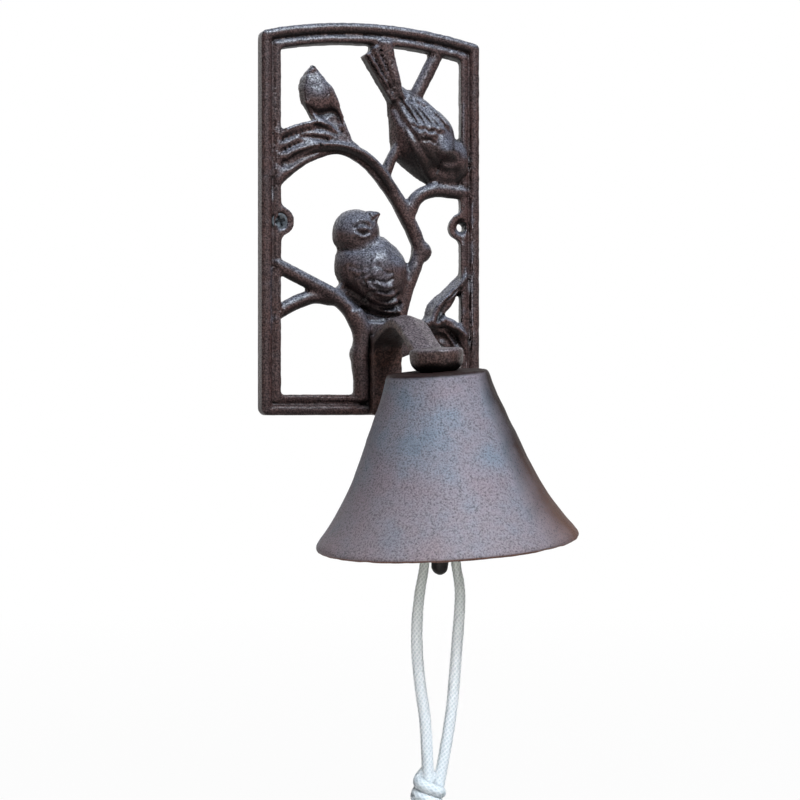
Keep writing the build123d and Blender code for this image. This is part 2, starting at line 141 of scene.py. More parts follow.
def slope_for_painted_light(piece, painted_highlight_spots=()):
    """Keep on each point how far it faces upwards, from 0 below to 1 above, for painted shade below and a
    painted highlight above.

    The slopes are evened out over neighbouring points, and count for less at the plate's foot, which also
    gets more painted shade. A painted highlight spot (x, z, spread, amount), in mm, brings the points round
    it up to its amount.
    """
    ends = np.zeros(len(piece.data.edges) * 2, np.int32)
    piece.data.edges.foreach_get("vertices", ends)
    first, second = ends.reshape(-1, 2).T
    slope = normals_of(piece)[:, 2]
    count = len(slope)
    shares = np.bincount(ends, minlength=count) + 1
    even_rounds = 6
    for _ in range(even_rounds):
        beside = np.bincount(first, slope[second], count) + np.bincount(second, slope[first], count)
        slope = (slope + beside) / shares
    x, y, z = points_of(piece).T * 1000
    # painted shade at the plate's foot: slopes there count for less, and all points there face less upwards, so
    # they are darker
    slope *= np.interp(z, [-78, -52], [0.3, 1.0])
    upward = np.clip(0.5 + 0.9 * slope, 0, 1) * np.interp(z, [-80, -60], [0.62, 1.0])
    front_from = -3
    # painted highlight spots: the points round each spot count as facing upwards
    for middle_x, middle_z, spread, amount in painted_highlight_spots:
        near = np.exp(-((x - middle_x) ** 2 + (z - middle_z) ** 2) / spread ** 2) * (y < front_from)
        upward += near * np.clip(amount - upward, 0, 1)
    piece.data.attributes.new("skyward", "FLOAT", "POINT").data.foreach_set("value", upward.astype(np.float32))


def finish_piece(piece, body, material, slot, *nodes):
    piece.data.materials.clear()
    piece.data.materials.append(material)
    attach(piece, body)
    if nodes:
        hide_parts(*nodes)


# %% [markdown]
# ## Finishes
# Sand-cast iron is grainy: the mould's sand leaves pits of about half a millimetre. Here it has been
# blackened and has rusted a little, so open faces are rust brown. Hollows and undersides are painted near
# black as painted shade, and upper faces a cool grey as a painted highlight. A painter could dry-brush
# it, or a texture could be baked.
# Here nodes read each point's own place, openness and slope, so that the finish follows any form. Each
# colour is an sRGB value that one function turns to linear light, and each pattern's scale comes from a
# size in millimetres.

# %% Colour and node helpers
def srgb(code):
    parts = [int(code[i:i + 2], 16) / 255 for i in (1, 3, 5)]
    return tuple(v / 12.92 if v <= 0.04045 else ((v + 0.055) / 1.055) ** 2.4 for v in parts) + (1.0,)


def per_mm(size_mm):
    """Texture scale whose features are about that many millimetres across."""
    return 1000.0 / size_mm


def node(tree, kind, settings=None, links=None):
    """Add one node, set its properties and inputs, and link its inputs."""
    made = tree.nodes.new(kind)
    for key, value in (settings or {}).items():
        if isinstance(key, str) and hasattr(made, key):
            setattr(made, key, value)
        else:
            made.inputs[key].default_value = value
    for key, source in (links or {}).items():
        tree.links.new(source, made.inputs[key])
    return made


def ramp(tree, source, stops):
    made = node(tree, "ShaderNodeValToRGB", links={"Fac": source})
    bar = made.color_ramp.elements
    while len(bar) < len(stops):
        bar.new(0.5)
    for stop, (place, colour) in zip(bar, stops):
        stop.position = place
        stop.color = colour if isinstance(colour, tuple) else (colour, colour, colour, 1.0)
    return made.outputs["Color"]


def mix(tree, amount, low, high, way="MIX"):
    made = node(tree, "ShaderNodeMix", {"data_type": "RGBA", "blend_type": way})
    for index, value in ((0, amount), (6, low), (7, high)):
        if isinstance(value, bpy.types.NodeSocket):
            tree.links.new(value, made.inputs[index])
        else:
            made.inputs[index].default_value = value
    return made.outputs[2]


def new_finish(name, roughness, metallic):
    made = bpy.data.materials.new(name)
    made.use_nodes = True
    shader = made.node_tree.nodes["Principled BSDF"]
    shader.inputs["Roughness"].default_value = roughness
    shader.inputs["Metallic"].default_value = metallic
    return made, made.node_tree, shader


# %% Sand-cast iron
def cast_iron(name, hollow, open_face, rust, painted_highlight, gloss=0.8, grain_mm=0.8, shade_reach=0.007):
    """Blackened sand-cast iron with rust-brown faces, painted shade near black in hollows and on undersides,
    and a painted highlight of cool grey on upper faces.

    Its grain is drawn a little coarser than real sand, so that it shows.
    """
    made, tree, shader = new_finish(name, 0.55, 0.15)
    where = node(tree, "ShaderNodeTexCoord").outputs["Object"]
    grain = node(tree, "ShaderNodeTexNoise", {"Scale": per_mm(grain_mm), "Detail": 3.0, "Roughness": 0.62},
                 {"Vector": where}).outputs["Fac"]
    blotch = node(tree, "ShaderNodeTexNoise", {"Scale": per_mm(14), "Detail": 4.0},
                  {"Vector": where}).outputs["Fac"]
    openness = node(tree, "ShaderNodeAmbientOcclusion", {"samples": 8, "Distance": shade_reach}).outputs["AO"]
    patina = mix(tree, ramp(tree, blotch, [(0.40, 0.0), (0.60, 1.0)]), srgb(open_face), srgb(rust))
    skyward = node(tree, "ShaderNodeAttribute", {"attribute_name": "skyward"}).outputs["Fac"]
    # painted highlight: faces that look up turn to the cool grey
    with_painted_highlight = mix(tree, ramp(tree, skyward, [(0.52, 0.0), (0.92, 1.0)]), patina, srgb(painted_highlight))
    # painted shade: faces that look down turn near black
    shaded = mix(tree, ramp(tree, skyward, [(0.0, 0.8), (0.36, 0.0)]), with_painted_highlight, srgb(hollow))
    # painted shade: hollows found by ambient occlusion turn near black
    with_painted_hollow_shade = mix(tree, ramp(tree, openness, [(0.35, 1.0), (0.85, 0.0)]), shaded, srgb(hollow))
    speckle = ramp(tree, grain, [(0.38, 0.35), (0.50, 0.9), (0.62, 1.7)])
    colour = mix(tree, 1.0, with_painted_hollow_shade, speckle, "MULTIPLY")
    tree.links.new(colour, shader.inputs["Base Color"])
    wax = ramp(tree, grain, [(0.40, 0.15 * gloss), (0.60, 1.6 * gloss)])
    wax = mix(tree, 1.0, wax, ramp(tree, skyward, [(0.15, 0.1), (0.55, 0.8), (0.9, 1.2)]), "MULTIPLY")
    tree.links.new(wax, shader.inputs["Coat Weight"])
    shader.inputs["Coat Roughness"].default_value = 0.4
    shader.inputs["Specular IOR Level"].default_value = 0.25
    relief = node(tree, "ShaderNodeBump", {"Strength": 0.8, "Distance": 0.0004}, {"Height": grain})
    tree.links.new(relief.outputs["Normal"], shader.inputs["Normal"])
    return made


# colours in order: painted shade for hollows and undersides, open face, rust, painted highlight for upper faces
plate_iron = cast_iron("blackened sand-cast iron", "#090504", "#473432", "#4f3632", "#66646e")
# the arm's painted shade reaches farther, so its leg under the arch is dark
arm_iron = cast_iron("rust-brown sand-cast iron", "#0c0605", "#4f3a36", "#5a3c33", "#6a5d60",
                     gloss=0.6, shade_reach=0.016)
clapper_iron = cast_iron("dark sand-cast iron", "#050303", "#0e0908", "#120b0a", "#120d0d", gloss=0.04)
print("iron finishes made")


# %% [markdown]
# The bell's skin is lighter than the plate's: a thin grey bloom over the iron, blue where it is thick and
# mauve where it is thin, painted light enough to stand in for the sheen of the light on the bell, a painted
# sheen. The bloom is worn off to bare rust at the crown's edge, the lip and the inside, and the side
# turned away from the light is painted the same rust as painted shade, so the bell's mesh carries an
# attribute that holds both, and noise makes its border ragged.

# %% Grey-bloomed bell iron
def bloom_and_sheen_iron():
    made, tree, shader = new_finish("grey-bloomed cast iron", 0.6, 0.1)
    where = node(tree, "ShaderNodeTexCoord").outputs["Object"]
    pits = node(tree, "ShaderNodeTexNoise", {"Scale": per_mm(0.75), "Detail": 2.0, "Roughness": 0.6},
                {"Vector": where}).outputs["Fac"]
    cloud = node(tree, "ShaderNodeTexNoise", {"Scale": per_mm(18), "Detail": 4.0}, {"Vector": where}).outputs["Fac"]
    bare_and_far_shade = node(tree, "ShaderNodeAttribute", {"attribute_name": "bare_and_far_shade"}).outputs["Fac"]
    ragged = node(tree, "ShaderNodeMath", {"operation": "MULTIPLY_ADD", 1: 0.9}, {0: cloud, 2: bare_and_far_shade}).outputs[0]
    ragged = node(tree, "ShaderNodeMath", {"operation": "MULTIPLY_ADD", 1: 0.5}, {0: pits, 2: ragged}).outputs[0]
    worn_and_shaded = node(tree, "ShaderNodeMapRange", {"From Min": 0.85, "From Max": 1.45}, {"Value": ragged}).outputs[0]
    # painted sheen: the bloom is lighter than the plate's iron, to stand in for the light on the bell
    bloom_and_sheen = ramp(tree, cloud, [(0.34, srgb("#908289")), (0.5, srgb("#8d868e")), (0.66, srgb("#858a96"))])
    height = node(tree, "ShaderNodeSeparateXYZ", links={"Vector": where}).outputs["Z"]
    low = node(tree, "ShaderNodeMapRange", {"From Min": -0.092, "From Max": -0.138}, {"Value": height}).outputs[0]
    bloom_and_sheen = mix(tree, ramp(tree, low, [(0.3, 0.0), (1.0, 0.4)]), bloom_and_sheen, srgb("#877372"))
    rust = mix(tree, low, srgb("#2a1917"), srgb("#6c4a3e"))
    # bare rust, and the same rust as painted shade on the far side
    face = mix(tree, worn_and_shaded, bloom_and_sheen, rust)
    speckle = ramp(tree, pits, [(0.32, 0.42), (0.46, 0.92), (0.64, 1.18)])
    colour = mix(tree, 1.0, face, speckle, "MULTIPLY")
    tree.links.new(colour, shader.inputs["Base Color"])
    shader.inputs["Coat Weight"].default_value = 0.06
    shader.inputs["Coat Roughness"].default_value = 0.42
    shader.inputs["Specular IOR Level"].default_value = 0.2
    relief = node(tree, "ShaderNodeBump", {"Strength": 0.8, "Distance": 0.0004}, {"Height": pits})
    tree.links.new(relief.outputs["Normal"], shader.inputs["Normal"])
    tree.links.new(relief.outputs["Normal"], shader.inputs["Coat Normal"])
    return made


bell_iron = bloom_and_sheen_iron()
print("bell finish made")


# %% [markdown]
# The small hardware is plain zinc-plated steel that has gone dull, with painted shade in its recesses.
# The cord is a white cotton braid: its yarns are matt, grey in their grooves and greyer towards the top,
# where the cord hangs in the bell's shadow, both as painted shade. Each is noise over one plain colour,
# with that painted shade, because nothing finer shows at this size.

# %% Dulled steel and white cotton
def dulled_steel():
    """Plain steel screws and rings: zinc gone grey, finely brushed, with painted shade in the recesses."""
    made, tree, shader = new_finish("dulled zinc-plated steel", 0.42, 0.6)
    where = node(tree, "ShaderNodeTexCoord").outputs["Object"]
    grain = node(tree, "ShaderNodeTexNoise", {"Scale": per_mm(1.5), "Detail": 5.0},
                 {"Vector": where}).outputs["Fac"]
    zinc = ramp(tree, grain, [(0.3, srgb("#55585c")), (0.7, srgb("#7d8186"))])
    # painted shade: recesses found by ambient occlusion turn dark
    openness = node(tree, "ShaderNodeAmbientOcclusion", {"samples": 8, "Distance": 0.002}).outputs["AO"]
    colour = mix(tree, 1.0, zinc, ramp(tree, openness, [(0.35, 0.05), (0.85, 1.0)]), "MULTIPLY")
    tree.links.new(colour, shader.inputs["Base Color"])
    relief = node(tree, "ShaderNodeBump", {"Strength": 0.2, "Distance": 0.0001}, {"Height": grain})
    tree.links.new(relief.outputs["Normal"], shader.inputs["Normal"])
    return made


def braided_cotton():
    """White cotton braid: matt, a little sheen, with painted shade grey in its grooves and towards the top, where
    it hangs in the bell's shadow.
    """
    made, tree, shader = new_finish("white braided cotton", 0.9, 0.0)
    where = node(tree, "ShaderNodeTexCoord").outputs["Object"]
    yarn_crest = node(tree, "ShaderNodeAttribute", {"attribute_name": "braid"}).outputs["Fac"]
    fuzz = node(tree, "ShaderNodeTexNoise", {"Scale": per_mm(0.6), "Detail": 3.0}, {"Vector": where}).outputs["Fac"]
    height = node(tree, "ShaderNodeSeparateXYZ", links={"Vector": where}).outputs["Z"]
    # painted shade: the cord turns greyer towards the top, in the bell's shadow
    under_bell = node(tree, "ShaderNodeMapRange", {"From Min": -0.188, "From Max": -0.148}, {"Value": height}).outputs[0]
    # painted shade: the yarns are grey in the braid's grooves and white on their crests
    lit_yarn = mix(tree, yarn_crest, srgb("#d3dade"), srgb("#f5f6f7"))
    shaded_yarn = mix(tree, yarn_crest, srgb("#a3a69f"), srgb("#cfd1ca"))
    body = mix(tree, under_bell, lit_yarn, shaded_yarn)
    colour = mix(tree, 1.0, body, ramp(tree, fuzz, [(0.3, 0.9), (0.7, 1.03)]), "MULTIPLY")
    tree.links.new(colour, shader.inputs["Base Color"])
    shader.inputs["Sheen Weight"].default_value = 0.25
    relief = node(tree, "ShaderNodeBump", {"Strength": 0.4, "Distance": 0.0002}, {"Height": fuzz})
    tree.links.new(relief.outputs["Normal"], shader.inputs["Normal"])
    return made


steel = dulled_steel()
cotton = braided_cotton()
print("steel and cotton made")


# %% [markdown]
# ## Camera
# The photograph looks level at the bell from a little to the left, so the camera stands left of the
# wall's normal, without shift or depth of field.

# %% Camera
lens = bpy.data.cameras.new("viewpoint")
lens.lens = 85.5
lens.sensor_width = 36.0
viewpoint = bpy.data.objects.new("viewpoint", lens)
viewpoint.location = (-0.28824, -0.81257, -0.0792)
viewpoint.rotation_euler = (math.radians(90), 0.0, math.radians(-20.5))
bpy.context.scene.collection.objects.link(viewpoint)
bpy.context.scene.camera = viewpoint
print("camera", lens.lens, "mm at", list(viewpoint.location))


# %% [markdown]
# ## Pull cord
# One length of limp white braid goes through the clapper's tip, and both halves hang down to a knot.
# Each half is a smooth NURBS line through the same route as the solid. The braid itself is modelled:
# rings are set along that line, and their radius rises and falls where the yarns cross.

# %% Cord lines
clapper_x, clapper_y = frame["joints"][1]["pos_m"][:2]
cord_radius = 0.0026
left_route = [(0, -140.8), (-6.4, -140.8), (-6.8, -149), (-9.2, -160), (-10.7, -177), (-9.2, -197),
              (-5.9, -215), (-5.2, -240.5)]
right_route = [(0, -140.8), (6.6, -140.8), (7.4, -149), (9.6, -160), (8.2, -178), (6.6, -197),
               (4.7, -216), (-0.6, -241)]


def smooth_line(name, points):
    """Points along a NURBS line of order three that has these points as its control points."""
    curve = bpy.data.curves.new(name, "CURVE")
    curve.dimensions = "3D"
    curve.resolution_u = 24
    spline = curve.splines.new("NURBS")
    spline.points.add(len(points) - 1)
    for place, control in zip(points, spline.points):
        control.co = (*place, 1.0)
    spline.order_u = 3
    spline.use_endpoint_u = True
    holder = bpy.data.objects.new(name, curve)
    bpy.context.scene.collection.objects.link(holder)
    bpy.context.view_layer.update()
    mesh = bpy.data.meshes.new_from_object(holder.evaluated_get(bpy.context.evaluated_depsgraph_get()))
    line = np.array([v.co[:] for v in mesh.vertices])
    bpy.data.objects.remove(holder)
    return line


def even_steps(line, step):
    """The same line at even steps."""
    runs = np.r_[0, np.cumsum(np.linalg.norm(np.diff(line, axis=0), axis=1))]
    marks = np.linspace(0, runs[-1], max(8, int(runs[-1] / step)))
    return np.stack([np.interp(marks, runs, line[:, i]) for i in range(3)], axis=1), marks


def braided_tube(name, line, radius, sides=40, step=0.0004, yarns=8, lay=0.018, depth=0.00024, tight=0.0):
    """Tube with the relief of a braid: two sets of yarns cross over and under each other."""
    path, marks = even_steps(line, step)
    ahead = np.gradient(path, axis=0)
    ahead /= np.linalg.norm(ahead, axis=1)[:, None]
    side = np.cross(ahead[0], (0.0, 1.0, 0.01))
    rings, grooves = [], []
    turn = np.linspace(0, 2 * math.pi, sides, endpoint=False)
    for place, direction, mark in zip(path, ahead, marks):
        side = side - direction * np.dot(side, direction)
        side /= np.linalg.norm(side)
        up = np.cross(direction, side)
        wind = 2 * math.pi * mark / lay
        right_hand = np.cos(yarns / 2 * (turn + wind))
        left_hand = np.cos(yarns / 2 * (turn - wind))
        lift = np.maximum(np.abs(right_hand), np.abs(left_hand))
        slack = np.array([noise.noise(Vector(place) / 0.004 + Vector((math.cos(t), math.sin(t), 0))) for t in turn])
        round_here = radius * (1 - tight * math.exp(-(mark / 0.028) ** 2)) - 0.00012 * (1 + slack[:, None])
        rings.append(place + (round_here - depth * (1 - lift)[:, None] * 2.4)
                     * (np.cos(turn)[:, None] * side + np.sin(turn)[:, None] * up))
        grooves.append(lift)
    count = len(rings)
    places = np.concatenate(rings)
    faces = [(r * sides + s, r * sides + (s + 1) % sides, (r + 1) * sides + (s + 1) % sides, (r + 1) * sides + s)
             for r in range(count - 1) for s in range(sides)]
    faces += [tuple(range(sides - 1, -1, -1)), tuple(range((count - 1) * sides, count * sides))]
    mesh = bpy.data.meshes.new(name)
    mesh.from_pydata(places.tolist(), [], faces)
    shade = np.clip((np.concatenate(grooves) - 0.7) / 0.3, 0, 1)
    mesh.attributes.new("braid", "FLOAT", "POINT").data.foreach_set("value", shade.astype(np.float32))
    piece = bpy.data.objects.new(name, mesh)
    bpy.context.scene.collection.objects.link(piece)
    take_up(piece)
    bpy.ops.object.mode_set(mode="EDIT")
    bpy.ops.mesh.select_all(action="SELECT")
    bpy.ops.mesh.normals_make_consistent(inside=False)
    bpy.ops.object.mode_set(mode="OBJECT")
    bpy.ops.object.shade_smooth()
    return piece, path


def hung(route):
    return [(clapper_x + x / 1000, clapper_y, z / 1000) for x, z in route]


left_line = smooth_line("left line", hung(left_route))
right_line = smooth_line("right line", hung(right_route))
cord_left, left_path = braided_tube("pull_cord_left", left_line, cord_radius, tight=0.2)
cord_right, right_path = braided_tube("pull_cord_right", right_line, cord_radius, tight=0.2)

# %% [markdown]
# The knot is a plain overhand knot in the doubled cord: the two ends wind round the standing strands,
# and come out below as two short cut tails.

# %% Knot
knot_top = Vector((clapper_x - 0.0038, clapper_y, -0.2362))
knot_turn = Matrix.Rotation(math.radians(10), 3, "Y")
wrap_radius = 0.0053


def wrap(start_angle, drop, tail_x):
    """One end of the cord: one turn and a half round the knot, then down through its middle."""
    points = [Vector((tail_x, 0.0012, 0.001))]
    for quarter in range(8):
        angle = start_angle + quarter * math.pi / 4 * 1.5
        level = -drop - quarter * 0.00115
        points.append(Vector((wrap_radius * 1.08 * math.cos(angle), wrap_radius * 1.08 * math.sin(angle), level)))
    points += [Vector((tail_x, 0.0005, -0.0165)), Vector((tail_x * 1.25, 0, -0.0225)),
               Vector((tail_x * 1.4, 0, -0.0285))]
    return [knot_top + knot_turn @ p for p in points]


first_end, _ = braided_tube("knot_first_end", smooth_line("first end", wrap(2.4, 0.0030, -0.0024)), cord_radius)
second_end, _ = braided_tube("knot_second_end", smooth_line("second end", wrap(2.4, 0.0078, 0.0024)), cord_radius)
take_up(first_end)
second_end.select_set(True)
bpy.ops.object.join()
knot = first_end
knot.name = "pull_cord_knot"
finish_piece(knot, "clapper", cotton, "cord_cotton", "cord_knot")
for piece, path, solid in ((cord_left, left_path, "cord_left"), (cord_right, right_path, "cord_right")):
    finish_piece(piece, "clapper", cotton, "cord_cotton", solid)


# %% [markdown]
# ## Openwork plate
# The plate is one sand casting, so its frame, branches, leaves and birds run into each other with soft
# edges. The solid is copied, remeshed to an even skin and rubbed smooth. Then the feathers, leaf veins
# and the eye are cut into it by raising and lowering points, as a pattern maker carves the wood pattern.

# %% Plate skin
plate = cast_from("wall_plate", "openwork_plate", 0.001, 2)
print("plate skin has", len(plate.data.polygons), "faces")


def choose_faces(piece, wanted):
    """Select the faces whose middle (mm) and direction the test picks, and stay in edit mode."""
    mesh = piece.data
    centres = np.zeros(len(mesh.polygons) * 3)
    facing = np.zeros(len(mesh.polygons) * 3)
    mesh.polygons.foreach_get("center", centres)
    mesh.polygons.foreach_get("normal", facing)
    chosen = wanted(centres.reshape(-1, 3) * 1000, facing.reshape(-1, 3))
    take_up(piece)
    bpy.ops.object.mode_set(mode="EDIT")
    bpy.ops.mesh.select_mode(type="FACE")
    bpy.ops.mesh.select_all(action="DESELECT")
    bpy.ops.object.mode_set(mode="OBJECT")
    mesh.polygons.foreach_set("select", chosen)
    bpy.ops.object.mode_set(mode="EDIT")
    return int(chosen.sum())


def front_inside(boxes):
    """A test for front faces inside boxes (x0, z0, x1, z1) in mm."""
    def wanted(centres, facing):
        x, y, z = centres.T
        inside = np.zeros(len(x), bool)
        for x0, z0, x1, z1 in boxes:
            inside |= (x > x0) & (x < x1) & (z > z0) & (z < z1)
        return inside & (y < -2.5) & (facing[:, 1] < -0.12)
    return wanted


# %% [markdown]
# The wall side is flat, so its faces are thinned. The front is divided where there is carving. Points of
# the rails and screw lugs are drawn back to the solid, because the remesh has worn their grooves away.

# %% Thin back and fine front
count = choose_faces(plate, lambda centres, facing: (centres[:, 1] > -0.7) & (facing[:, 1] > 0.9))
bpy.ops.mesh.decimate(ratio=0.2)
bpy.ops.object.mode_set(mode="OBJECT")
print(count, "faces of the back thinned;", len(plate.data.polygons), "in all")

rails = [(-53, -87, -42.8, 91), (42.8, -87, 53, 91), (-42.8, -87, 42.8, -76.4), (-42.8, 77.5, 42.8, 92)]
lugs = [(-42.8, -8, -34, 8), (34, -8, 42.8, 8)]
carved = [(-8, 19, 42.8, 77.5), (-19, -46, 15, 8), (-42.8, 30, -8, 74), (24, -60, 42.8, -18)]
for boxes, cuts, drawn_back in ((rails, 1, True), (lugs, 2, True), (carved, 2, False)):
    count = choose_faces(plate, front_inside(boxes))
    bpy.ops.mesh.subdivide(number_cuts=cuts, smoothness=0.0)
    bpy.ops.mesh.select_mode(type="VERT")
    if not drawn_back:
        bpy.ops.mesh.vertices_smooth(factor=0.5, repeat=3)
        bpy.ops.object.mode_set(mode="OBJECT")
        print(count, "faces divided for carving;", len(plate.data.polygons), "in all")
        continue
    bpy.ops.object.mode_set(mode="OBJECT")
    fine = [v.index for v in plate.data.vertices if v.select]
    group = plate.vertex_groups.new(name="fine")
    group.add(fine, 1.0, "REPLACE")
    take_up(plate)
    wrap_on = plate.modifiers.new("back to the solid", "SHRINKWRAP")
    wrap_on.target = frame["nodes"]["wall_plate"]
    wrap_on.vertex_group = group.name
    bpy.ops.object.modifier_apply(modifier=wrap_on.name)
    plate.vertex_groups.clear()
    bpy.ops.object.mode_set(mode="EDIT")
    bpy.ops.mesh.vertices_smooth(factor=0.5, repeat=2)
    bpy.ops.object.mode_set(mode="OBJECT")
    print(count, "faces divided;", len(plate.data.polygons), "in all")


# %% [markdown]
# Each cut of the carver's gouge is a stroke: how far it raises (+) or sinks (-) the face, its half width
# and the points it is drawn through, all in millimetres.

# %% Strokes of the perched bird and its tail
perched = [
    (0.6, 1.5, [(8.4, 56), (9.9, 51.5), (12.3, 45.5), (16, 38), (20.5, 30.5), (25.5, 24.5), (31, 19.8)]),
    (-1.6, 2.3, [(9.6, 60), (10.8, 57.6)]),
    (-0.5, 1.1, [(11.6, 53), (12.6, 50), (14.8, 44.5), (18.8, 37.5), (22.7, 31.5), (26.5, 28.5)]),
    (0.4, 1.0, [(12.4, 55), (13.6, 51.5), (16.2, 45.5), (19.4, 39)]),
    (-0.9, 0.7, [(13.6, 56.6), (15.8, 51.5), (18.8, 45.5)]),
    (-0.9, 0.7, [(15.8, 57.2), (18.4, 52), (21.8, 45.6)]),
    (-0.9, 0.7, [(18, 57.2), (21, 52.2), (24.8, 45.8)]),
    (-0.9, 0.7, [(20.2, 56.6), (23.6, 52), (27.8, 45.4)]),
    (-0.9, 0.7, [(22.4, 55.4), (26.2, 51), (30.6, 44.6)]),
    (-0.8, 0.7, [(24.8, 54.2), (29, 49.6), (33, 44)]),
    (-0.7, 0.75, [(17.6, 44.4), (19.6, 42.4), (22, 43.4), (24, 41.6), (26.4, 42.6), (28.4, 41)]),
    (-0.7, 0.75, [(19.8, 39.4), (21.8, 37.4), (24.2, 38.2), (26.4, 36.8)]),
    (2.0, 4.6, [(32.0, 35.4), (33.8, 35)]),
    (1.3, 2.4, [(31.4, 33.2), (35, 32.8)]),
    (-0.5, 1.0, [(30.4, 42), (27.4, 38.6), (27, 34), (28.8, 30.6)]),
    (-2.2, 2.6, [(32.4, 29.6), (36.4, 28.8)]),
    (-2.2, 3.0, [(28.5, 25.6), (33, 23.8), (38, 23.6)]),
    (-1.0, 0.85, [(-3.6, 75.2), (1.6, 67.4), (6.4, 60.4)]),
    (-1.0, 0.85, [(-0.6, 77.2), (4.2, 68.6), (8.2, 61.6)]),
    (-0.9, 0.85, [(2.6, 78.6), (6.8, 69.8), (10, 62.8)]),
]

# %% Strokes of the resting bird
resting = [
    (-0.7, 1.6, [(-19, -9.5), (-14, -11.4), (-9, -12.2), (-4, -11.4), (0, -9.5)]),
    (0.9, 1.4, [(-6.7, -2.4), (-6.1, -2.4)]),
    (-1.0, 0.7, [(-9.8, -2), (-7.4, -0.1), (-4.4, -0.5), (-3, -1.6)]),
    (-1.0, 0.7, [(-9.2, -3.6), (-6.8, -5), (-4.2, -4.3)]),
    (0.5, 0.8, [(-10.4, -0.4), (-7.2, 1.6), (-3.6, 0.8)]),
    (0.5, 0.8, [(-10, -5.2), (-6.8, -6.6), (-3.6, -5.8)]),
    (-0.7, 0.5, [(-1, 1.4), (0.8, 2.6), (2, 3.8)]),
    (-0.45, 1.0, [(-12, -19.4), (-9, -20.8), (-5, -20.4), (-0.5, -18.6)]),
    (-0.8, 0.75, [(-0.5, -19.2), (1.6, -21.6), (4.2, -22.8), (6, -22.4)]),
    (-0.6, 0.8, [(-10.6, -23.4), (-9.4, -25), (-7.6, -23), (-5.6, -24.6), (-3, -22.6)]),
    (0.8, 0.8, [(-6.6, -24.8), (-3, -23.2), (1, -21.6)]),
    (1.0, 0.8, [(-6.6, -26.6), (-4, -28.6), (-0.5, -29.9)]),
    (1.0, 0.8, [(-2, -26.6), (1.5, -28.3), (4.4, -28.7), (6, -28.2)]),
    (1.0, 0.8, [(0, -30.8), (3.5, -32.2), (6.6, -32.2), (8.4, -31.4)]),
    (1.0, 0.8, [(-1.5, -33), (2.5, -35.3), (7, -36), (10.4, -34.8)]),
    (1.0, 0.8, [(-2, -35.6), (3, -38), (8, -39.4), (11.6, -39.2)]),
    (-1.0, 0.75, [(-4, -25.6), (0, -26.4), (4, -26.6), (6.6, -25)]),
    (-1.0, 0.75, [(-3.4, -31), (1, -30), (5, -30.4), (8, -29.4)]),
    (-1.1, 0.75, [(-3.6, -31.8), (1, -33.6), (5, -34.3), (9.4, -33.2), (11, -31.6)]),
    (-1.1, 0.75, [(-4, -34.2), (1, -36.8), (6, -37.9), (11, -37), (13, -35)]),
    (-1.2, 0.8, [(-4.4, -37.4), (1, -40.2), (7, -41.6), (12, -41.2)]),
    (-0.9, 0.8, [(-12, -28.6), (-7, -32), (-2, -35)]),
    (-0.9, 0.8, [(-11, -32), (-6, -36), (-1, -39.4)]),
]

# %% Strokes of the leaves
leafage = [
    (-0.4, 1.4, [(-28.2, 61), (-26.8, 60.4)]),
    (0.5, 0.8, [(-30.6, 51.5), (-31.8, 57), (-31.4, 63.6), (-28.2, 69)]),
    (0.5, 0.8, [(-27, 69), (-22.6, 64), (-18.8, 59), (-16.2, 52), (-14.4, 47.6)]),
    (-1.7, 1.4, [(-30.6, 50.6), (-27.2, 48.6), (-22.6, 48.4), (-18.4, 50.2), (-15.4, 45)]),
    (-1.0, 0.9, [(-27, 43), (-22.5, 41.6), (-17.6, 39.8)]),
    (-1.0, 0.9, [(-33.4, 37.8), (-28, 38), (-21.6, 36.8)]),
    (0.6, 0.9, [(-41, 40.2), (-34, 44), (-27, 45), (-20, 43.4)]),
    (1.1, 1.3, [(-41, 28.4), (-35, 32.2), (-27, 34.4), (-18, 35), (-10, 33.8), (-2, 30.4), (4, 25.4), (9.6, 17)]),
    (-1.6, 1.7, [(-40, 25), (-34, 28.6), (-26, 30.8), (-18, 31.2), (-11, 30), (-4, 26.6), (1.6, 21.8),
                 (6.6, 14.6)]),
    (0.8, 1.1, [(28.4, -43.6), (31, -38), (34, -32.4), (38.6, -28.8)]),
    (-1.4, 0.8, [(31, -43), (34, -37), (37, -32), (41.6, -28.6)]),
    (0.6, 0.9, [(33.4, -43.6), (36.2, -38), (40, -33)]),
    (0.8, 1.0, [(30, -46.2), (36, -46), (41, -46.4), (44.4, -50)]),
    (-0.8, 2.4, [(34, -50.4), (38, -50), (41.4, -52.6)]),
]

# %% Carving
def rounded_line(points):
    """The points of a drawn line with its corners cut twice, so that it bends softly."""
    line = np.array(points, float)
    for _ in range(2):
        cut = [(0.75 * a + 0.25 * b, 0.25 * a + 0.75 * b) for a, b in zip(line, line[1:])]
        line = np.array([line[0], *(place for pair in cut for place in pair), line[-1]])
    return line


def distance_to(line, x, z):
    best = np.full(x.shape, np.inf)
    for a, b in zip(line, line[1:]):
        run = b - a
        part = np.clip(((x - a[0]) * run[0] + (z - a[1]) * run[1]) / run.dot(run), 0, 1)
        best = np.minimum(best, np.hypot(x - a[0] - part * run[0], z - a[1] - part * run[1]))
    return best


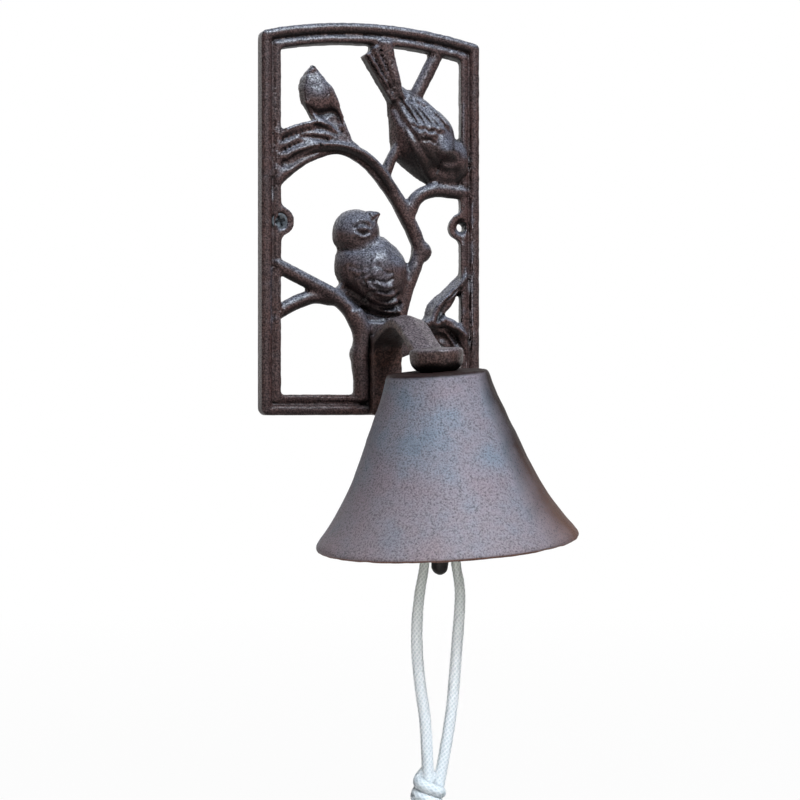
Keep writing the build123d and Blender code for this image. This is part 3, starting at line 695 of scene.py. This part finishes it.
def carve(piece, strokes):
    """Press strokes (height, half width, points) into a piece's front faces, along their normals."""
    places, directions = points_of(piece) * 1000, normals_of(piece)
    x, y, z = places.T
    front = np.clip((-directions[:, 1] - 0.1) / 0.4, 0, 1) * (y < -2.5)
    lift = np.zeros(len(x))
    for height, width, points in strokes:
        line = rounded_line(points)
        low, high = line.min(axis=0) - 3 * width, line.max(axis=0) + 3 * width
        near = (front > 0) & (x > low[0]) & (x < high[0]) & (z > low[1]) & (z < high[1])
        lift[near] += height * np.exp(-(distance_to(line, x[near], z[near]) / width) ** 2)
    put_points(piece, (places + directions * (lift * front)[:, None]) / 1000)
    print(len(strokes), "strokes, from", round(lift.min(), 2), "to", round(lift.max(), 2), "mm")


def grab(piece, pulls):
    """Pull points sideways, as with a thumb in clay: (x, z, reach, move in x, move in z) in mm."""
    places = points_of(piece) * 1000
    for x, z, reach, move_x, move_z in pulls:
        away = np.hypot(places[:, 0] - x, places[:, 2] - z) / reach
        share = np.clip(1 - away ** 2, 0, 1) ** 2
        places[:, 0] += share * move_x
        places[:, 2] += share * move_z
    put_points(piece, places / 1000)


def draw_leaf(piece, foot, left_edge, right_edge):
    """Draw the upright leaf's outline to two edges that meet in a point, slice by slice: (z, x) in mm."""
    places = points_of(piece) * 1000
    west, east, top = -42, -10, 74
    leaf = (places[:, 0] > west) & (places[:, 0] < east) & (places[:, 2] > foot) & (places[:, 2] < top)
    x, z = places[leaf, 0], places[leaf, 2]
    step = 0.75
    levels = np.arange(foot, z.max(), step)
    slices = [x[np.abs(z - level) < step] for level in levels]
    left = np.interp(z, levels, [across.min() for across in slices])
    right = np.interp(z, levels, [across.max() for across in slices])
    share = np.clip((x - left) / np.maximum(right - left, 0.5), 0, 1)
    belly, fade_in = 58, 4
    z = z + (left_edge[-1][0] - z.max()) * np.clip((z - belly) / (z.max() - belly), 0, 1)
    new_left, new_right = (np.interp(z, *np.array(edge).T) for edge in (left_edge, right_edge))
    blend = np.clip((z - foot) / fade_in, 0, 1)
    places[leaf, 0] = x + blend * (new_left + share * (new_right - new_left) - x)
    places[leaf, 2] = z
    put_points(piece, places / 1000)
    print(int(leaf.sum()), "points of the upright leaf drawn to its outline")


def soften(piece, boxes, repeat):
    """Rub only the front faces inside the boxes smooth."""
    choose_faces(piece, front_inside(boxes))
    bpy.ops.mesh.vertices_smooth(factor=0.5, repeat=repeat)
    bpy.ops.object.mode_set(mode="OBJECT")


# %% [markdown]
# The frame's rails have two full round beads with a hollow between them. Their height is drawn from the
# distance to the plate's outer edge, so both beads keep their width round the arch and the corners.

# %% Rails
def bead(inset, middle, half_width, base, rise):
    """Height (mm) of a half-round bead on its base, at a distance from the plate's edge."""
    return base + rise * np.sqrt(np.clip(1 - ((inset - middle) / half_width) ** 2, 0, 1))


def round_beads(piece):
    half_width, foot, crest, bow = 52, 86, 90.3, 217.8
    outer_middle, inner_middle, hollow = 2.35, 7.55, 5.5
    places, directions = points_of(piece) * 1000, normals_of(piece)
    x, y, z = places.T
    inset = np.minimum.reduce([half_width - np.abs(x), z + foot, bow - np.hypot(x, z - (crest - bow))])
    outer = bead(inset, outer_middle, outer_middle, 6.0, 2.0)
    inner = bead(inset, inner_middle, 2.2, 5.6, 1.6)
    height = np.where(inset < 2 * outer_middle, outer, np.maximum(inner, hollow))
    limb = (inset > 6.4) & (y < -7.7)
    rail = (inset > 0.05) & (inset < inner_middle) & (directions[:, 1] < -0.15) & (y < -4) & ~limb
    places[rail, 1] = -height[rail]
    put_points(piece, places / 1000)
    print(int(rail.sum()), "points of the rails rounded")


round_beads(plate)
soften(plate, rails, 4)

# %% [markdown]
# Birds and leaves come next: joints that should flow are rubbed soft, outlines are pulled to their true
# shape, and all the strokes are cut in one pass. Sculpting by hand would do the same, but a list of
# strokes can be read and changed. At the end the plain parts are thinned, so the mesh stays light.

# %% Birds and leaves
necks_and_faces = [(-20, -15.5, 4, -5.5), (-35, 47, -14, 68), (3, 52, 16, 64)]
boughs_and_tails = [(20, -18, 31, -5), (-43, 33, -12, 47), (-8, 60, 12, 78), (3, -34, 15, -16)]
soften(plate, necks_and_faces, 60)
soften(plate, boughs_and_tails, 16)
leaf_left = [(48, -30.1), (51.9, -31.8), (56.2, -33.1), (59.6, -33.4), (63.8, -32.7), (67.8, -30.2), (70.9, -27.5)]
leaf_right = [(48.5, -14.6), (52.6, -15.4), (57, -16.6), (60.6, -18.4), (64.4, -21.4), (68.2, -25), (70.9, -27.5)]
draw_leaf(plate, 49.5, leaf_left, leaf_right)
grab(plate, [(30.5, -35, 8, -1.6, 0.6), (-20, -10, 6, -1.2, 0), (9.5, -13, 7, -1.8, -1.0)])
carve(plate, perched + resting + leafage)
sand_cast(plate, 0.0035, 0.00016, 3.0)

# %% Thinned plate, its slopes kept for painted shade and highlights
count = choose_faces(plate, front_inside(carved))
bpy.ops.mesh.decimate(ratio=0.5)
bpy.ops.object.mode_set(mode="OBJECT")
bpy.ops.object.shade_smooth()
print(count, "carved faces thinned again where they are plain;", len(plate.data.polygons), "in all")
low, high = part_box("wall_plate")
put_points(plate, np.clip(points_of(plate), np.array(low), np.array(high)))
# painted highlights on the birds' heads, breast and wing and on the upright leaf
painted_highlight_spots = [(32, 36.2, 4.2, 1.0), (-11, 1.5, 7, 0.85), (-4, -16, 9, 0.8), (1, -27, 8, 0.72), (-26, 60, 6, 0.8)]
slope_for_painted_light(plate, painted_highlight_spots)
finish_piece(plate, "bracket", plate_iron, "plate_iron", "wall_plate")
triangles = sum(len(face.vertices) - 2 for face in plate.data.polygons)
print("plate has", triangles, "triangles")


# %% [markdown]
# ## Hooked arm
# The arm is a second casting, screwed to the plate from behind. It gets the same soft skin, with a finer
# remesh, because it stands nearest to the eye.

# %% Arm
arm = cast_from("bell_arm", "hooked_arm", 0.0006, 6)
sand_cast(arm, 0.004, 0.0003, 5.0)
# painted shade and highlight by slope, as on the plate
slope_for_painted_light(arm)
finish_piece(arm, "bracket", arm_iron, "arm_iron", "bell_arm")
print("arm has", len(arm.data.polygons), "faces")

# %% [markdown]
# ## Bell
# A bell is a body of revolution, so half its outline is drawn once and spun round its axis. The axis
# leans by the same angles as the solid's.

# %% Bell
bell_profile = [
    (3.35, -4.4), (3.35, 0), (10, 0), (18.6, 0), (20.6, -0.2), (21.6, -1.3), (22.4, -5), (25.6, -13.5), (28.9, -21),
    (33.2, -32), (38.0, -43.5), (43.6, -54), (50.4, -64.4), (53.9, -68.3), (55.2, -70.2), (55.35, -71.5),
    (54.7, -72.5), (52.8, -72.6), (51.0, -71.2), (48.4, -66.8), (40.2, -54.6), (33.7, -43.5), (24.6, -21),
    (20.6, -12), (18, -7.9), (15.4, -5), (11, -4.4)]


def bell_place():
    lean = Matrix.Rotation(math.radians(2.2), 4, "X") @ Matrix.Rotation(math.radians(-4.4), 4, "Y")
    return Matrix.Translation((0.005, -0.073, -0.0672)) @ lean


mesh = bpy.data.meshes.new("flared_bell")
corners = len(bell_profile)
mesh.from_pydata([(r / 1000, 0, z / 1000) for r, z in bell_profile],
                 [(i, (i + 1) % corners) for i in range(corners)], [])
bell = bpy.data.objects.new("flared_bell", mesh)
bpy.context.scene.collection.objects.link(bell)
take_up(bell)
bpy.ops.object.mode_set(mode="EDIT")
bpy.ops.mesh.select_all(action="SELECT")
bpy.ops.mesh.spin(steps=96, angle=2 * math.pi, center=(0, 0, 0), axis=(0, 0, 1))
bpy.ops.mesh.select_all(action="SELECT")
bpy.ops.mesh.remove_doubles(threshold=1e-6)
bpy.ops.mesh.normals_make_consistent(inside=False)
bpy.ops.object.mode_set(mode="OBJECT")
rounder = bell.modifiers.new("rounder", "SUBSURF")
rounder.levels = rounder.render_levels = 2
bpy.ops.object.modifier_apply(modifier=rounder.name)
bell.data.transform(bell_place())
bpy.ops.object.shade_smooth()

# %% [markdown]
# How bare each point of the bell is: its crown's edge, the edge of its lip and its inside are bare rust,
# and the side turned away from the light is painted the same rust as painted shade. All is worked out
# from each point's place on the bell's own axis.

# %% Worn bloom and painted shade on the far side
spot = points_of(bell)
own = np.array([bell_place().inverted() @ Vector(p) for p in spot]) * 1000
reach, level = np.hypot(own[:, 0], own[:, 1]), own[:, 2]
skin_depth = [0, 1.3, 5, 13.5, 21, 32, 43.5, 54, 64.4, 68.3, 71.5]
skin_radius = [20.5, 21.6, 22.4, 25.6, 28.9, 33.2, 38, 43.6, 50.4, 53.9, 55.3]
skin = np.interp(-level, skin_depth, skin_radius)
inside = np.clip((skin - reach - 0.8) / 1.0, 0, 1)
crown_edge = np.clip((level + 2.2) / 1.6, 0, 1)
lip_edge = np.clip((-level - 71.2) / 0.9, 0, 1)
# painted shade: the side turned away from the light counts as bare
far_side_shade = np.clip((own[:, 0] / np.maximum(reach, 1) - 0.34) / 0.5, 0, 1)
bare_and_far_shade = np.maximum.reduce([inside, crown_edge, lip_edge, far_side_shade * 0.9])
bell.data.attributes.new("bare_and_far_shade", "FLOAT", "POINT").data.foreach_set("value", bare_and_far_shade.astype(np.float32))
print("bare share of the bell's points:", round(float((bare_and_far_shade > 0.5).mean()), 2))
sand_cast(bell, 0.006, 0.00025, 7.0)
finish_piece(bell, "bracket", bell_iron, "bell_iron", "bell")
print("bell from", [round(v, 4) for v in np.min(points_of(bell), axis=0)], "solid from", list(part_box("bell")[0]))

# %% [markdown]
# ## Clapper and small steel
# The clapper is cast too. The screws, nut, washer, eye and link are turned or bent from steel, so they
# keep crisp edges.

# %% Clapper
clapper = cast_from("clapper", "clapper_casting", 0.0005, 4)
sand_cast(clapper, 0.003, 0.0002, 9.0)
# painted shade and highlight by slope; lying low, the clapper also gets the foot's extra painted shade
slope_for_painted_light(clapper)
finish_piece(clapper, "clapper", clapper_iron, "clapper_iron", "clapper")

# %% Steel
hardware = [("wall_screw", "cross_head_screw", "bracket"), ("arm_screws", "arm_fixing_screws", "bracket"),
            ("eye_bolt", "hanger_eye", "bracket"), ("crown_washer", "hanger_washer", "bracket"),
            ("crown_nut", "hanger_nut", "bracket"), ("clapper_link", "hanger_link", "link")]
for solid, name, body in hardware:
    piece = copy_of(solid, name)
    bpy.ops.object.shade_smooth_by_angle(angle=math.radians(35))
    finish_piece(piece, body, steel, "steel", solid)
print(len(hardware), "steel pieces")

# %% [markdown]
# ## Light and background
# The photograph has a plain white background and soft light from above and in front. One large area lamp
# stands for a window, a weak one fills in front, and a narrow spot reaches the cord in the bell's shadow.

# %% Stage
def plane(name, size, place, turn):
    bpy.ops.mesh.primitive_plane_add(size=size, location=place, rotation=turn)
    made = bpy.context.object
    made.name = name
    bpy.ops.object.transform_apply(location=True, rotation=True, scale=True)
    made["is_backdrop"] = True
    return made


def white_paper(name, near, far):
    """Paper that the eye sees as plain white, a little less so near the object's foot, for its shadow."""
    made, tree, shader = new_finish(name, 0.9, 0.0)
    shader.inputs["Base Color"].default_value = srgb("#8c8c8c")
    path = node(tree, "ShaderNodeLightPath")
    seen = node(tree, "ShaderNodeMath", {"operation": "MAXIMUM"},
                {0: path.outputs["Is Camera Ray"], 1: path.outputs["Is Glossy Ray"]}).outputs[0]
    seen = node(tree, "ShaderNodeMath", {"operation": "MAXIMUM"},
                {0: seen, 1: path.outputs["Is Transmission Ray"]}).outputs[0]
    where = node(tree, "ShaderNodeTexCoord").outputs["Object"]
    reach = node(tree, "ShaderNodeVectorMath", {"operation": "LENGTH"}, {0: where}).outputs["Value"]
    glow = node(tree, "ShaderNodeMapRange", {"From Min": 0.3, "From Max": 0.9, "To Min": near, "To Max": far},
                {"Value": reach}).outputs[0]
    amount = node(tree, "ShaderNodeMath", {"operation": "MULTIPLY"}, {0: seen, 1: glow}).outputs[0]
    light = node(tree, "ShaderNodeEmission", {"Color": (1, 1, 1, 1), "Strength": 1.0})
    joined = node(tree, "ShaderNodeMixShader", links={0: amount, 1: shader.outputs[0], 2: light.outputs[0]})
    tree.links.new(joined.outputs[0], tree.nodes["Material Output"].inputs["Surface"])
    return made


deselect_all()
floor = plane("floor", 6.0, (0, 0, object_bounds()[0].z - 0.004), (0, 0, 0))
floor.data.materials.append(white_paper("white floor", 0.97, 1.0))
backdrop = plane("backdrop", 8.0, (0, 1.6, 0), (math.radians(90), 0, 0))
backdrop.data.materials.append(white_paper("white backdrop", 1.0, 1.0))


def softbox(name, place, target, size, power, tint):
    light = bpy.data.lights.new(name, "AREA")
    light.shape = "RECTANGLE"
    light.size, light.size_y = size
    light.energy = power
    light.color = tint
    lamp = bpy.data.objects.new(name, light)
    lamp.location = place
    lamp.rotation_euler = (Vector(target) - Vector(place)).to_track_quat("-Z", "Y").to_euler()
    bpy.context.scene.collection.objects.link(lamp)


softbox("window light", (0.14, -0.95, 1.0), (0, -0.03, -0.05), (0.7, 0.55), 27, (0.80, 0.91, 1.0))
softbox("front fill", (-0.3, -1.6, -0.1), (0, 0, -0.1), (0.8, 0.8), 1.5, (1.0, 0.97, 0.93))

cord_light = bpy.data.lights.new("cord light", "SPOT")
cord_light.energy = 58
cord_light.spot_size = math.radians(9)
cord_light.spot_blend = 0.7
cord_light.shadow_soft_size = 0.08
cord_lamp = bpy.data.objects.new("cord light", cord_light)
cord_lamp.location = (-0.35, -0.98, -0.26)
cord_middle = Vector((0.004, -0.072, -0.214))
cord_lamp.rotation_euler = (cord_middle - cord_lamp.location).to_track_quat("-Z", "Y").to_euler()
bpy.context.scene.collection.objects.link(cord_lamp)

world = bpy.data.worlds.new("studio")
world.use_nodes = True
bpy.context.scene.world = world
sky = world.node_tree.nodes["Background"]
sky.inputs["Color"].default_value = (1, 1, 1, 1)
sky.inputs["Strength"].default_value = 0.03
bpy.context.scene.view_settings.view_transform = "Standard"
